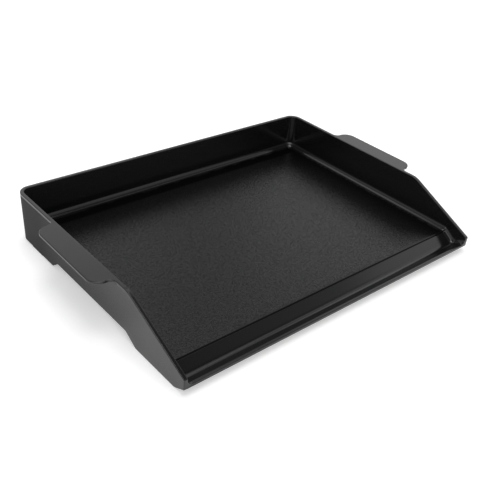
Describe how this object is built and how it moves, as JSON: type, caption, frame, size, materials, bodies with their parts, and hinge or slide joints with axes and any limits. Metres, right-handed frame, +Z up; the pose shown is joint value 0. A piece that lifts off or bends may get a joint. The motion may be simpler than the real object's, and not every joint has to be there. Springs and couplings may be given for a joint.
{
  "type": "electric griddle",
  "caption": "Black non-stick cast griddle plate with high back, sloping side walls, side handles and a front grease trough, lifting off a flat electric heater base.",
  "frame": {"origin": "centre of the footprint at table level", "axes": "+Z up, the open pouring front faces -Y, the supply inlet faces +Y, +X to the right seen from the front"},
  "size_m": [0.494, 0.362, 0.064],
  "materials": {
    "coated_casting": "black non-stick coating, satin with a fine grain",
    "silicone": "matte",
    "tray_steel": "aluminised steel sheet",
    "reflector": "bright rolled",
    "sheath": "dull green-grey oxide",
    "screw_steel": "zinc plated",
    "ceramic": "unglazed",
    "moulding": "fine spark texture",
    "brass": "machined",
    "sleeving": "braided glass sleeving"
  },
  "bodies": {
    "heater_base": {"heater_tray": "tray_steel", "reflector_sheet": "reflector", "heating_element": "sheath", "inlet_housing": "moulding", "socket_cup": "ceramic", "contact_live": "brass", "contact_neutral": "brass", "contact_earth": "brass", "limit_switch": "ceramic", "limit_tab_left": "brass", "limit_tab_right": "brass", "lead_to_neutral": "sleeving", "lead_to_element": "sleeving", "thermal_fuse": "reflector", "lead_fuse_lower": "sleeving", "lead_fuse_upper": "sleeving", "earth_screw": "brass", "lead_earth": "sleeving", "element_support_1": "ceramic", "support_screw_1": "screw_steel", "element_support_2": "ceramic", "support_screw_2": "screw_steel", "element_support_3": "ceramic", "support_screw_3": "screw_steel", "element_support_4": "ceramic", "support_screw_4": "screw_steel", "element_support_5": "ceramic", "support_screw_5": "screw_steel", "element_support_6": "ceramic", "support_screw_6": "screw_steel", "element_support_7": "ceramic", "support_screw_7": "screw_steel", "element_support_8": "ceramic", "support_screw_8": "screw_steel", "tray_foot_front_left": "silicone", "tray_foot_back_left": "silicone", "element_seal_left": "ceramic", "element_terminal_left": "screw_steel", "inlet_screw_left": "screw_steel", "tray_foot_front_right": "silicone", "tray_foot_back_right": "silicone", "element_seal_right": "ceramic", "element_terminal_right": "screw_steel", "inlet_screw_right": "screw_steel"},
    "plate": {"griddle_plate": "coated_casting", "plate_button_left": "silicone", "plate_button_right": "silicone"}
  },
  "joints": [
    {"name": "plate_lift", "type": "slide", "parent": "heater_base", "child": "plate", "axis": [0, 0, 1], "range_m": [0, 0.05]}
  ]
}
